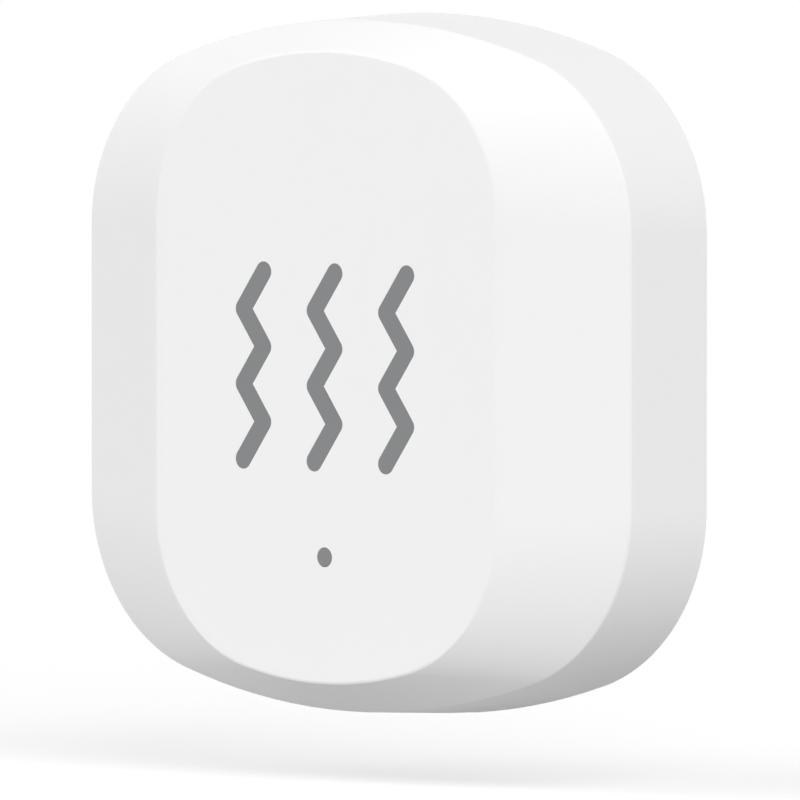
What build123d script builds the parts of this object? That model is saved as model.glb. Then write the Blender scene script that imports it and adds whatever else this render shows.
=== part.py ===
"""A stick-on vibration sensor tag: a bowed square cap over a base plate that carries a small circuit board.

The frame: the back of the sticky pad lies on the wall at Y = 0, the face looks along -Y and Z is up.
Every sketch is drawn on a plane parallel to the wall, so its own axes are X and Z, and its height is the
distance out from the wall. All sizes are in millimetres.
"""

from build123d import *

import os
from math import asin, atan2, cos, degrees, pi, sin, sqrt, tan

# Outside of the cap, from the wall outwards
rear_width = 50.0
rear_tall = 48.3
rear_bow_radius = 52.6
rear_corner_radius = 13.0
cap_depth = 10.85
draft_inset = 0.4
shoulder_depth = 3.3
side_band = 9.1
end_band = 2.05
face_bow_radius = 29.6
face_corner_radius = 10.9
cap_wall = 1.6

# Joint between the cap and the base plate
rim_wall = 0.9
plate_gap = 0.15
plate_seat_gap = 0.1
skirt_gap = 0.45
skirt_wall = 1.0
skirt_height = 3.0
nub_reach = 0.3
nub_height = 1.0
nub_length = 4.0
nub_rise = 1.9
pocket_depth = 0.45
pocket_margin = 0.3
tongue_slot = 0.9
tongue_margin = 1.2
side_nub_spacing = 11.0
end_nub_spacing = 15.0
pry_width = 9.0
pry_depth = 0.8
cell_rib_wall = 0.8
cell_rib_length = 12.0
cell_rib_gap = 0.3

# Three zigzag marks and the lamp window on the face
mark_rise = 2.58
mark_swing = 1.86
mark_stroke = 1.4
mark_spacing = 6.5
mark_runs = 5
mark_depth = 0.3
lamp_inset = 8.7
lamp_window = 1.3
lamp_window_gap = 0.03
lamp_flange = 2.8
lamp_flange_height = 0.7
lamp_rod = 1.9
lamp_end_gap = 0.3
lamp_boss_wall = 0.8
lamp_boss_gap = 0.1
lamp_boss_height = 2.2

# Base plate and pad
plate_floor = 1.5
plate_edge_bevel = 0.2
pad_width = 32.0
pad_tall = 30.0
pad_corner = 7.0
pad_proud = 0.8
pad_recess = 0.2
pad_margin = 0.3
board_standoff = 0.9
boss_diameter = 4.4
pilot_skin = 0.3
rib_width = 0.8
rib_height = 0.5
rib_spacing = 9.0

# Board and its screws
board_thickness = 1.0
board_gap = 0.3
screw_side_inset = 5.8
screw_top_inset = 6.35
screw_bottom_inset = 2.55
screw_hole_gap = 0.2
screw_core = 1.6
screw_core_gap = 0.05
screw_length = 2.5
screw_head = 3.6
screw_head_height = 1.2
screw_head_bevel = 0.4
screw_cross_width = 0.5
screw_cross_length = 2.0
screw_cross_depth = 0.6

# Coin cell
cell_diameter = 20.0
cell_height = 3.2
cell_can_wall = 0.25
cell_edge_bevel = 0.35
cell_cap_diameter = 17.4
cell_cap_bevel = 0.3
cell_seal_step = 0.3

# Holder and contacts
holder_top_inset = 2.75
holder_gap = 0.2
holder_wall = 1.2
holder_floor = 0.6
holder_mouth = 14.0
holder_window_width = 4.4
holder_window_length = 11.0
holder_lip_reach = 0.8
holder_lip_height = 0.6
holder_lip_width = 5.0
holder_lip_angle = 35.0
holder_lip_gap = 0.1
contact_thickness = 0.25
contact_width = 4.0
contact_reach = 2.4
contact_foot = 1.8
contact_gap = 0.05
contact_slot_gap = 0.2
leaf_width = 2.4
leaf_flat = 2.0
leaf_ramp = 2.6

# Radio can and what is under it
shield_width = 11.6
shield_tall = 9.4
shield_height = 1.9
shield_wall = 0.2
shield_bevel = 0.15
shield_vent = 0.8
shield_vent_pitch = 3.2
vent_sides = 6
shield_side_inset = 4.0
shield_bottom_inset = 5.25
radio_chip_width = 5.0
radio_chip_height = 0.85
radio_chip_offset = 2.4
crystal_width = 2.0
crystal_tall = 1.6
crystal_height = 0.5
crystal_lid_step = 0.15
crystal_offset = 3.2

# Signal chip and regulator
signal_width = 3.9
signal_tall = 4.9
signal_height = 1.5
signal_side_inset = 3.05
signal_top_inset = 9.9
signal_legs = 4
signal_pitch = 1.27
leg_width = 0.42
leg_reach = 1.0
leg_thickness = 0.2
leg_rise = 0.7
regulator_width = 1.4
regulator_tall = 2.9
regulator_height = 1.0
regulator_side_inset = 8.0
regulator_bottom_inset = 13.5
regulator_pitch = 0.95

# Status lamp
lamp_width = 2.0
lamp_tall = 1.3
lamp_base_height = 0.5
lamp_lens_width = 1.2
lamp_lens_height = 0.35
lamp_lens_taper = 10.0

# Push switch
switch_width = 6.0
switch_height = 3.2
switch_cover_height = 0.3
switch_cover_inset = 0.15
switch_side_inset = 6.0
switch_bottom_inset = 5.55
switch_corner = 0.4
switch_rivet = 0.8
switch_rivet_height = 0.2
switch_rivet_inset = 1.1
rivet_sides = 8
switch_leg_width = 0.7
switch_leg_reach = 0.9
switch_leg_thickness = 0.25
switch_leg_spacing = 4.5
button_stem = 3.4
button_gap = 0.15
button_proud = 0.8
button_bevel = 0.2
button_flange = 4.2
button_flange_height = 0.7
button_travel = 0.25
button_rest_gap = 0.05
dome_diameter = 4.0
dome_rise = 0.35
dome_thickness = 0.1

# Vibration switch: a coil spring that shakes round a pin inside a small tube
tube_diameter = 4.8
tube_wall = 0.5
tube_length = 11.5
tube_end = 0.6
tube_side_inset = 2.6
tube_top_inset = 10.2
plug_length = 2.2
plug_gap = 0.05
pin_diameter = 0.6
pin_end_gap = 1.3
coil_wire = 0.28
coil_radius = 1.1
coil_pitch = 0.95
coil_turns = 6
coil_end_gap = 0.25
lead_run = 0.8
lead_bend = 0.7
lead_diameter = 0.4
lead_hole_gap = 0.1
lead_tail = 0.5
wire_sides = 6

# Small parts on the board
chip_length = 1.6
chip_width = 0.8
chip_end = 0.35
chip_end_step = 0.04
capacitor_height = 0.8
resistor_height = 0.45
buffer_diameter = 5.0
buffer_height = 4.2
buffer_base_width = 5.3
buffer_base_height = 0.8
buffer_base_chamfer = 1.0
buffer_switch_gap = 1.55
buffer_bottom_inset = 1.9
buffer_bevel = 0.35
buffer_groove = 0.25
buffer_groove_rise = 0.7
buffer_groove_height = 0.5
test_pad = 1.2
test_pad_height = 0.06
antenna_trace = 0.6
antenna_pitch = 1.3
antenna_reach = 3.4
antenna_turns = 8
antenna_side_inset = 2.3
antenna_shield_gap = 1.5
antenna_height = 0.07

overrun = 1.0
level_slack = 0.01

# The flat front, inside the bands that slope down to the shoulder
face_width = rear_width - 2 * (draft_inset + side_band)
face_tall = rear_tall - 2 * (draft_inset + end_band)

# Levels, as distances out from the wall
rear_level = pad_proud
face_level = rear_level + cap_depth
edge_level = face_level - shoulder_depth
ceiling_level = face_level - cap_wall
floor_level = rear_level + plate_floor
step_level = floor_level + plate_seat_gap
skirt_level = floor_level + skirt_height
nub_level = floor_level + nub_rise
board_back_level = floor_level + board_standoff
board_level = board_back_level + board_thickness
cell_level = board_level + holder_floor
cell_top_level = cell_level + cell_height
lip_level = cell_top_level + holder_lip_gap


def level(distance):
    """The plane parallel to the wall at this distance out from it."""
    return Plane.XZ.offset(distance)


def bowed_face(width, tall, bow_radius, corner_radius):
    """A face with straight sides, a bowed top and bottom, and round corners."""
    half = width / 2
    bow = bow_radius - sqrt(bow_radius**2 - half**2)
    side_end = tall / 2 - bow
    with BuildSketch() as outline:
        with BuildLine():
            Line((half, -side_end), (half, side_end))
            ThreePointArc((half, side_end), (0, tall / 2), (-half, side_end))
            Line((-half, side_end), (-half, -side_end))
            ThreePointArc((-half, -side_end), (0, -tall / 2), (half, -side_end))
        make_face()
        fillet(outline.vertices(), corner_radius)
    return outline.sketch


def rear_face(inset=0.0):
    """The outline of the cap's rear edge, moved in all round by inset."""
    return bowed_face(
        rear_width - 2 * inset,
        rear_tall - 2 * inset,
        rear_bow_radius - inset,
        rear_corner_radius - inset,
    )


def front_face(side_inset=0.0, end_inset=0.0):
    """The outline of the flat front, moved in at the sides and at the ends."""
    return bowed_face(
        face_width - 2 * side_inset,
        face_tall - 2 * end_inset,
        face_bow_radius - end_inset,
        face_corner_radius - (side_inset + end_inset) / 2,
    )


def draft_at(distance):
    """How far the cap's side has come in at this distance out from the wall."""
    return draft_inset * (distance - rear_level) / (edge_level - rear_level)


def edges_at(part, distance):
    """The edges that lie in the plane at this distance out from the wall."""
    return part.edges().filter_by_position(Axis.Y, -distance - level_slack, -distance + level_slack)


def zigzag(x):
    """One zigzag stroke with round ends and corners, centred on x."""
    turns = [
        (x + mark_swing / 2 * (1 if i % 2 == 0 else -1), (mark_runs / 2 - i) * mark_rise)
        for i in range(mark_runs + 1)
    ]
    with BuildSketch() as stroke:
        for start, end in zip(turns, turns[1:]):
            middle = ((start[0] + end[0]) / 2, (start[1] + end[1]) / 2)
            SlotCenterPoint(middle, end, mark_stroke)
    return stroke.sketch


def on_board(shares):
    """Places on the board, from shares of its half width and half height."""
    return [(x * board_half_width, z * board_half_tall) for x, z in shares]


def finish(part, name):
    """Name a finished piece and write it out."""
    part.label = name
    export_step(part, f"parts/{name}.step")


os.makedirs("parts", exist_ok=True)

# Places that several pieces share
skirt_inset = cap_wall + draft_at(skirt_level) + skirt_gap
board_inset = skirt_inset + skirt_wall + board_gap
board_half_width = rear_width / 2 - board_inset
board_half_tall = rear_tall / 2 - board_inset
holder_bore = cell_diameter / 2 + holder_gap
holder_radius = holder_bore + holder_wall
cell_rise = board_half_tall - holder_top_inset - holder_radius
shield_side = board_half_width - shield_side_inset - shield_width / 2
shield_drop = board_half_tall - shield_bottom_inset - shield_tall / 2
signal_side = board_half_width - signal_side_inset - signal_width / 2
signal_rise = board_half_tall - signal_top_inset - signal_tall / 2
regulator_side = board_half_width - regulator_side_inset - regulator_width / 2
regulator_drop = board_half_tall - regulator_bottom_inset - regulator_tall / 2
switch_side = board_half_width - switch_side_inset - switch_width / 2
switch_drop = board_half_tall - switch_bottom_inset - switch_width / 2
buffer_side = switch_side - (switch_width + buffer_base_width) / 2 - buffer_switch_gap
buffer_drop = board_half_tall - buffer_bottom_inset - buffer_base_width / 2
screw_side = board_half_width - screw_side_inset
screw_up = board_half_tall - screw_top_inset
screw_down = board_half_tall - screw_bottom_inset
lamp_place = (0, lamp_inset - face_tall / 2)
cell_place = (0, cell_rise)
shield_place = (-shield_side, -shield_drop)
switch_place = (switch_side, -switch_drop)
buffer_place = (buffer_side, -buffer_drop)
screw_places = [(-screw_side, screw_up), (screw_side, screw_up), (0, -screw_down)]
tube_level = board_level + tube_diameter / 2
tube_side = board_half_width - tube_side_inset - tube_diameter / 2
tube_top = board_half_tall - tube_top_inset
tube_bottom = tube_top - tube_length
pin_hole = pin_diameter + 2 * lead_hole_gap
lead_hole = lead_diameter + 2 * lead_hole_gap
lead_drop = tube_bottom - lead_run - lead_bend
pin_place = (tube_side, lead_drop)
lead_place = (tube_side + coil_radius, lead_drop)


def nub_planes():
    """A plane at each snap nub: its X looks outwards and its Y away from the wall."""
    half_width = rear_width / 2 - skirt_inset
    half_tall = rear_tall / 2 - skirt_inset
    radius = rear_bow_radius - skirt_inset
    turn = asin(end_nub_spacing / 2 / radius)
    end_rise = half_tall - radius * (1 - cos(turn))
    places = []
    for side in (-1, 1):
        for up in (-1, 1):
            places.append((side * half_width, up * side_nub_spacing / 2, side, 0))
            places.append((side * end_nub_spacing / 2, up * end_rise, side * sin(turn), up * cos(turn)))
    return [
        Plane(origin=(x, -nub_level, z), x_dir=(out_x, 0, out_z), z_dir=(out_z, 0, -out_x))
        for x, z, out_x, out_z in places
    ]


# Front cap
side_slope = atan2(shoulder_depth, rear_width / 2 - draft_inset - face_width / 2)
end_slope = atan2(shoulder_depth, rear_tall / 2 - draft_inset - face_tall / 2)
inner_edge_level = edge_level - cap_wall * tan((pi / 2 - side_slope) / 2)
rib_depth = ceiling_level - cell_top_level - cell_rib_gap
with BuildPart() as front_cap:
    with BuildSketch(level(rear_level)):
        add(rear_face())
    with BuildSketch(level(edge_level)):
        add(rear_face(draft_inset))
    with BuildSketch(level(face_level)):
        add(front_face())
    loft(ruled=True)
    with BuildSketch(level(rear_level)):
        add(rear_face(cap_wall))
    with BuildSketch(level(inner_edge_level)):
        add(rear_face(cap_wall + draft_at(inner_edge_level)))
    with BuildSketch(level(ceiling_level)):
        add(front_face(cap_wall * tan(side_slope / 2), cap_wall * tan(end_slope / 2)))
    loft(ruled=True, mode=Mode.SUBTRACT)
    with BuildSketch(level(rear_level - overrun)):
        add(rear_face(rim_wall))
    extrude(amount=step_level - rear_level + overrun, mode=Mode.SUBTRACT)
    for plane in nub_planes():
        with BuildSketch(plane):
            with Locations((skirt_gap, 0)):
                Rectangle(2 * pocket_depth, nub_height + 2 * pocket_margin)
        extrude(amount=nub_length / 2 + pocket_margin, both=True, mode=Mode.SUBTRACT)
    with BuildSketch(level(rear_level - overrun)):
        with Locations((0, -rear_tall / 2)):
            SlotOverall(pry_width, 2 * pry_depth)
    extrude(amount=pry_depth + overrun, mode=Mode.SUBTRACT)
    with BuildSketch(level(ceiling_level)):
        with Locations(cell_place):
            Rectangle(cell_rib_length, cell_rib_wall)
            Rectangle(cell_rib_wall, cell_rib_length)
    extrude(amount=-rib_depth)
    with BuildSketch(level(ceiling_level)):
        with Locations(lamp_place):
            Circle(lamp_flange / 2 + lamp_boss_gap + lamp_boss_wall)
            Circle(lamp_flange / 2 + lamp_boss_gap, mode=Mode.SUBTRACT)
    extrude(amount=-lamp_boss_height)
    with BuildSketch(level(face_level + overrun)):
        with Locations(lamp_place):
            Circle(lamp_window / 2 + lamp_window_gap)
    extrude(amount=-cap_wall - 2 * overrun, mode=Mode.SUBTRACT)
    with BuildSketch(level(face_level)):
        for x in (-mark_spacing, 0, mark_spacing):
            add(zigzag(x))
    extrude(amount=-mark_depth, mode=Mode.SUBTRACT)
finish(front_cap.part, "front_cap")

# Zigzag marks, one inlay for each
for name, x in (("mark_left", -mark_spacing), ("mark_middle", 0), ("mark_right", mark_spacing)):
    with BuildPart() as mark:
        with BuildSketch(level(face_level)):
            add(zigzag(x))
        extrude(amount=-mark_depth)
    finish(mark.part, name)

# Light guide, from the face down to the lamp
lamp_top_level = board_level + lamp_base_height + lamp_lens_height
with BuildPart() as light_guide:
    with BuildSketch(level(ceiling_level)):
        with Locations(lamp_place):
            Circle(lamp_window / 2)
    extrude(amount=cap_wall)
    with BuildSketch(level(ceiling_level)):
        with Locations(lamp_place):
            Circle(lamp_flange / 2)
    extrude(amount=-lamp_flange_height)
    with BuildSketch(level(ceiling_level)):
        with Locations(lamp_place):
            Circle(lamp_rod / 2)
    extrude(amount=lamp_top_level + lamp_end_gap - ceiling_level)
finish(light_guide.part, "light_guide")

# Base plate with its snap skirt, screw bosses and ribs
with BuildPart() as base_plate:
    with BuildSketch(level(rear_level)):
        add(rear_face(rim_wall + plate_gap))
    extrude(amount=plate_floor)
    chamfer(edges_at(base_plate, rear_level), plate_edge_bevel)
    with BuildSketch(level(floor_level)):
        add(rear_face(skirt_inset))
        add(rear_face(skirt_inset + skirt_wall), mode=Mode.SUBTRACT)
    extrude(amount=skirt_height)
    for plane in nub_planes():
        with BuildSketch(plane):
            with BuildLine():
                Polyline(
                    (-skirt_wall / 2, -nub_height / 2),
                    (0, -nub_height / 2),
                    (nub_reach, -nub_height / 4),
                    (nub_reach, 0),
                    (0, nub_height / 2),
                    (-skirt_wall / 2, nub_height / 2),
                    close=True,
                )
            make_face()
        extrude(amount=nub_length / 2, both=True)
        for side in (-1, 1):
            with BuildSketch(plane.offset(side * (nub_length / 2 + tongue_margin))):
                with Locations((-skirt_wall / 2, (skirt_level - nub_level + floor_level - nub_level) / 2)):
                    Rectangle(2 * skirt_wall, skirt_height)
            extrude(amount=tongue_slot / 2, both=True, mode=Mode.SUBTRACT)
    with BuildSketch(level(floor_level)):
        for i in (-1, 0, 1):
            with Locations((i * rib_spacing, 0)):
                Rectangle(rib_width, pad_tall)
            with Locations((0, i * rib_spacing)):
                Rectangle(pad_width, rib_width)
    extrude(amount=rib_height)
    with BuildSketch(level(floor_level)):
        with Locations(*screw_places):
            Circle(boss_diameter / 2)
    extrude(amount=board_standoff)
    with BuildSketch(level(rear_level + pilot_skin)):
        with Locations(*screw_places):
            Circle(screw_core / 2 + screw_core_gap)
    extrude(amount=board_back_level - rear_level, mode=Mode.SUBTRACT)
    with BuildSketch(level(rear_level - overrun)):
        RectangleRounded(pad_width + 2 * pad_margin, pad_tall + 2 * pad_margin, pad_corner + pad_margin)
    extrude(amount=pad_recess + overrun, mode=Mode.SUBTRACT)
finish(base_plate.part, "base_plate")

# Sticky foam pad
with BuildPart() as adhesive_pad:
    with BuildSketch(level(0)):
        RectangleRounded(pad_width, pad_tall, pad_corner)
    extrude(amount=pad_proud + pad_recess)
finish(adhesive_pad.part, "adhesive_pad")

# Circuit board
with BuildPart() as circuit_board:
    with BuildSketch(level(board_back_level)):
        add(rear_face(board_inset))
        with Locations(*screw_places):
            Circle(screw_core / 2 + screw_hole_gap, mode=Mode.SUBTRACT)
        with Locations(pin_place):
            Circle(pin_hole / 2, mode=Mode.SUBTRACT)
        with Locations(lead_place):
            Circle(lead_hole / 2, mode=Mode.SUBTRACT)
    extrude(amount=board_thickness)
finish(circuit_board.part, "circuit_board")

# Three screws through the board
with BuildPart() as board_screws:
    with BuildSketch(level(board_level)):
        with Locations(*screw_places):
            Circle(screw_head / 2)
    extrude(amount=screw_head_height)
    chamfer(edges_at(board_screws, board_level + screw_head_height), screw_head_bevel)
    with BuildSketch(level(board_level)):
        with Locations(*screw_places):
            Circle(screw_core / 2)
    extrude(amount=-screw_length)
    with BuildSketch(level(board_level + screw_head_height)):
        with Locations(*screw_places):
            Rectangle(screw_cross_length, screw_cross_width)
            Rectangle(screw_cross_width, screw_cross_length)
    extrude(amount=-screw_cross_depth, mode=Mode.SUBTRACT)
finish(board_screws.part, "board_screws")

# Coin cell: a steel can with the flat side out, a seal, and the small cap against the board
with BuildPart() as cell_can:
    with BuildSketch(level(cell_level + cell_seal_step)):
        with Locations(cell_place):
            Circle(cell_diameter / 2)
    extrude(amount=cell_height - cell_seal_step)
    chamfer(edges_at(cell_can, cell_top_level), cell_edge_bevel)
    with BuildSketch(level(cell_level)):
        with Locations(cell_place):
            Circle(cell_diameter / 2 - cell_can_wall)
    extrude(amount=cell_height - cell_can_wall, mode=Mode.SUBTRACT)
finish(cell_can.part, "cell_can")

with BuildPart() as cell_seal:
    with BuildSketch(level(cell_level + cell_seal_step)):
        with Locations(cell_place):
            Circle(cell_diameter / 2 - cell_can_wall)
            Circle(cell_cap_diameter / 2, mode=Mode.SUBTRACT)
    extrude(amount=cell_height - cell_can_wall - cell_seal_step)
finish(cell_seal.part, "cell_seal")

with BuildPart() as cell_cap:
    with BuildSketch(level(cell_level)):
        with Locations(cell_place):
            Circle(cell_cap_diameter / 2)
    extrude(amount=cell_height - cell_can_wall)
    chamfer(edges_at(cell_cap, cell_level), cell_cap_bevel)
finish(cell_cap.part, "cell_cap")

# Cell holder: a ring on a floor, open at the top for the cell to tilt out, with two lips over the cell
contact_slot = contact_width + 2 * contact_slot_gap
with BuildPart() as cell_holder:
    with BuildSketch(level(board_level)):
        with Locations(cell_place):
            Circle(holder_radius)
            Rectangle(holder_window_width, holder_window_length, mode=Mode.SUBTRACT)
    extrude(amount=holder_floor)
    with BuildSketch(level(cell_level)):
        with Locations(cell_place):
            Circle(holder_radius)
            Circle(holder_bore, mode=Mode.SUBTRACT)
    extrude(amount=lip_level - cell_level)
    with BuildSketch(level(lip_level)):
        with Locations(cell_place):
            Circle(holder_radius)
            Circle(holder_bore - holder_lip_reach, mode=Mode.SUBTRACT)
        with Locations(Location((cell_place[0], cell_place[1], 0), (0, 0, -holder_lip_angle))):
            Rectangle(2 * holder_radius, holder_lip_width, mode=Mode.INTERSECT)
    extrude(amount=holder_lip_height)
    with BuildSketch(level(cell_level)):
        with Locations((0, cell_rise + holder_radius)):
            Rectangle(holder_mouth, 2 * holder_wall + holder_radius)
    extrude(amount=cell_height + holder_lip_height + overrun, mode=Mode.SUBTRACT)
    with BuildSketch(level(board_level)):
        with Locations((0, cell_rise - holder_radius)):
            Rectangle(contact_slot, 2 * (holder_wall + holder_gap))
    extrude(amount=cell_height + holder_lip_height + overrun, mode=Mode.SUBTRACT)
finish(cell_holder.part, "cell_holder")

# Contacts, each a bent strip drawn from the side; in that plane X is up and Y runs out from the wall
side_plane = Plane(origin=(0, 0, 0), x_dir=(0, 0, 1), z_dir=(1, 0, 0))
foot_level = board_level + contact_thickness / 2
clip_z = cell_rise - cell_diameter / 2 - contact_gap - contact_thickness / 2
clip_level = cell_top_level + contact_gap + contact_thickness / 2
with BuildPart() as positive_contact:
    with BuildSketch(side_plane):
        with BuildLine():
            Polyline(
                (clip_z - contact_foot, foot_level),
                (clip_z, foot_level),
                (clip_z, clip_level),
                (clip_z + contact_reach, clip_level),
            )
        trace(line_width=contact_thickness)
    extrude(amount=contact_width / 2, both=True)
finish(positive_contact.part, "positive_contact")

leaf_level = cell_level - contact_gap - contact_thickness / 2
with BuildPart() as negative_contact:
    with BuildSketch(side_plane):
        with BuildLine():
            Polyline(
                (cell_rise - leaf_ramp - leaf_flat, foot_level),
                (cell_rise - leaf_ramp, foot_level),
                (cell_rise, leaf_level),
                (cell_rise + leaf_ramp, foot_level),
                (cell_rise + leaf_ramp + leaf_flat, foot_level),
            )
        trace(line_width=contact_thickness)
    extrude(amount=leaf_width / 2, both=True)
finish(negative_contact.part, "negative_contact")

# Radio can with its grid of vents
vent_columns = int((shield_width - 2 * shield_vent) // shield_vent_pitch)
vent_rows = int((shield_tall - 2 * shield_vent) // shield_vent_pitch)
with BuildPart() as radio_shield:
    with BuildSketch(level(board_level)):
        with Locations(shield_place):
            Rectangle(shield_width, shield_tall)
    extrude(amount=shield_height)
    chamfer(edges_at(radio_shield, board_level + shield_height), shield_bevel)
    with BuildSketch(level(board_level)):
        with Locations(shield_place):
            Rectangle(shield_width - 2 * shield_wall, shield_tall - 2 * shield_wall)
    extrude(amount=shield_height - shield_wall, mode=Mode.SUBTRACT)
    with BuildSketch(level(board_level + shield_height)):
        with Locations(shield_place):
            with GridLocations(shield_vent_pitch, shield_vent_pitch, vent_columns, vent_rows):
                RegularPolygon(shield_vent / 2, vent_sides)
    extrude(amount=-2 * shield_wall, mode=Mode.SUBTRACT)
finish(radio_shield.part, "radio_shield")

# Radio chip and its crystal, under the can
radio_chip_place = (-shield_side - radio_chip_offset, -shield_drop)
with BuildPart() as radio_chip:
    with BuildSketch(level(board_level)):
        with Locations(radio_chip_place):
            Rectangle(radio_chip_width, radio_chip_width)
    extrude(amount=radio_chip_height)
finish(radio_chip.part, "radio_chip")

with BuildPart() as radio_crystal:
    with BuildSketch(level(board_level)):
        with Locations((-shield_side + crystal_offset, -shield_drop)):
            Rectangle(crystal_width, crystal_tall)
    extrude(amount=crystal_height)
    with BuildSketch(level(board_level + crystal_height)):
        with Locations((-shield_side + crystal_offset, -shield_drop)):
            Rectangle(crystal_width - 2 * crystal_lid_step, crystal_tall - 2 * crystal_lid_step)
    extrude(amount=crystal_lid_step)
finish(radio_crystal.part, "radio_crystal")


def gull_leg(side, body_half):
    """The side view of a chip's leg, from its body out and down to the board."""
    with BuildSketch() as leg:
        with BuildLine():
            Polyline(
                (side * body_half, board_level + leg_rise),
                (side * (body_half + leg_reach / 2), board_level + leg_rise),
                (side * (body_half + leg_reach / 2), board_level + leg_thickness / 2),
                (side * (body_half + leg_reach), board_level + leg_thickness / 2),
            )
        trace(line_width=leg_thickness)
    return leg.sketch


def chip_legs(x, body_half, heights, side):
    """A row of legs on one side of a chip that stands at x, one at each height."""
    with BuildPart() as legs:
        for z in heights:
            with BuildSketch(Plane(origin=(x, 0, z), x_dir=(1, 0, 0), z_dir=(0, 0, 1))):
                add(mirror(gull_leg(side, body_half), about=Plane.XZ, mode=Mode.PRIVATE))
            extrude(amount=leg_width / 2, both=True)
    return legs.part


# Signal chip, which watches the vibration switch
signal_heights = [signal_rise + (i - (signal_legs - 1) / 2) * signal_pitch for i in range(signal_legs)]
with BuildPart() as signal_chip:
    with BuildSketch(level(board_level + leg_thickness)):
        with Locations((-signal_side, signal_rise)):
            Rectangle(signal_width, signal_tall)
    extrude(amount=signal_height)
finish(signal_chip.part, "signal_chip")

with BuildPart() as signal_chip_legs:
    add(chip_legs(-signal_side, signal_width / 2, signal_heights, -1))
    add(chip_legs(-signal_side, signal_width / 2, signal_heights, 1))
finish(signal_chip_legs.part, "signal_chip_legs")

# Voltage regulator: two legs on one side and one on the other
regulator_place = (regulator_side, -regulator_drop)
with BuildPart() as voltage_regulator:
    with BuildSketch(level(board_level + leg_thickness)):
        with Locations(regulator_place):
            Rectangle(regulator_width, regulator_tall)
    extrude(amount=regulator_height)
finish(voltage_regulator.part, "voltage_regulator")

with BuildPart() as voltage_regulator_legs:
    pair = [-regulator_drop - regulator_pitch, -regulator_drop + regulator_pitch]
    add(chip_legs(regulator_side, regulator_width / 2, pair, 1))
    add(chip_legs(regulator_side, regulator_width / 2, [-regulator_drop], -1))
finish(voltage_regulator_legs.part, "voltage_regulator_legs")

# Status lamp
with BuildPart() as status_lamp:
    with BuildSketch(level(board_level)):
        with Locations(lamp_place):
            Rectangle(lamp_width, lamp_tall)
    extrude(amount=lamp_base_height)
finish(status_lamp.part, "status_lamp")

with BuildPart() as status_lamp_lens:
    with BuildSketch(level(board_level + lamp_base_height)):
        with Locations(lamp_place):
            Rectangle(lamp_lens_width, lamp_lens_width)
    extrude(amount=lamp_lens_height, taper=lamp_lens_taper)
finish(status_lamp_lens.part, "status_lamp_lens")

# Push switch
switch_top_level = board_level + switch_height
switch_cover_level = switch_top_level - switch_cover_height
flange_level = switch_cover_level - button_rest_gap - button_flange_height
dome_level = flange_level - button_travel - button_rest_gap - dome_rise
switch_well = button_flange + 2 * button_gap
rivet_spread = switch_width - 2 * switch_rivet_inset
with BuildPart() as switch_body:
    with BuildSketch(level(board_level)):
        with Locations(switch_place):
            RectangleRounded(switch_width, switch_width, switch_corner)
    extrude(amount=switch_height - switch_cover_height)
    with BuildSketch(level(dome_level)):
        with Locations(switch_place):
            Circle(switch_well / 2)
    extrude(amount=switch_height, mode=Mode.SUBTRACT)
finish(switch_body.part, "switch_body")

with BuildPart() as switch_cover:
    with BuildSketch(level(switch_cover_level)):
        with Locations(switch_place):
            Rectangle(switch_width - 2 * switch_cover_inset, switch_width - 2 * switch_cover_inset)
            Circle(button_stem / 2 + button_gap, mode=Mode.SUBTRACT)
    extrude(amount=switch_cover_height)
    with BuildSketch(level(switch_top_level)):
        with Locations(switch_place):
            with GridLocations(rivet_spread, rivet_spread, 2, 2):
                RegularPolygon(switch_rivet / 2, rivet_sides)
    extrude(amount=switch_rivet_height)
finish(switch_cover.part, "switch_cover")

with BuildPart() as switch_legs:
    with BuildSketch(level(board_level)):
        with Locations(switch_place):
            with GridLocations(switch_width + switch_leg_reach, switch_leg_spacing, 2, 2):
                Rectangle(switch_leg_reach, switch_leg_width)
    extrude(amount=switch_leg_thickness)
finish(switch_legs.part, "switch_legs")

dome_radius = (dome_diameter**2 / 4 + dome_rise**2) / (2 * dome_rise)
with BuildPart() as switch_dome:
    with Locations((switch_side, dome_radius - dome_rise - dome_level, -switch_drop)):
        Sphere(dome_radius)
        Sphere(dome_radius - dome_thickness, mode=Mode.SUBTRACT)
    split(bisect_by=level(dome_level), keep=Keep.TOP)
finish(switch_dome.part, "switch_dome")

with BuildPart() as switch_button:
    with BuildSketch(level(flange_level)):
        with Locations(switch_place):
            Circle(button_flange / 2)
    extrude(amount=button_flange_height)
    with BuildSketch(level(flange_level)):
        with Locations(switch_place):
            Circle(button_stem / 2)
    extrude(amount=switch_top_level + button_proud - flange_level)
    chamfer(edges_at(switch_button, switch_top_level + button_proud), button_bevel)
finish(switch_button.part, "switch_button")

# Vibration switch tube, with its plug at the lower end
upright = Plane(origin=(tube_side, -tube_level, tube_bottom), x_dir=(1, 0, 0), z_dir=(0, 0, 1))
tube_bore = tube_diameter / 2 - tube_wall
with BuildPart() as sensor_tube:
    with BuildSketch(upright):
        Circle(tube_diameter / 2)
    extrude(amount=tube_length)
    with BuildSketch(upright):
        Circle(tube_bore)
    extrude(amount=tube_length - tube_end, mode=Mode.SUBTRACT)
finish(sensor_tube.part, "sensor_tube")

with BuildPart() as sensor_plug:
    with BuildSketch(upright):
        Circle(tube_bore - plug_gap)
        Circle(pin_diameter / 2 + plug_gap, mode=Mode.SUBTRACT)
        with Locations((coil_radius, 0)):
            Circle(lead_diameter / 2 + plug_gap, mode=Mode.SUBTRACT)
    extrude(amount=plug_length)
finish(sensor_plug.part, "sensor_plug")


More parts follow.
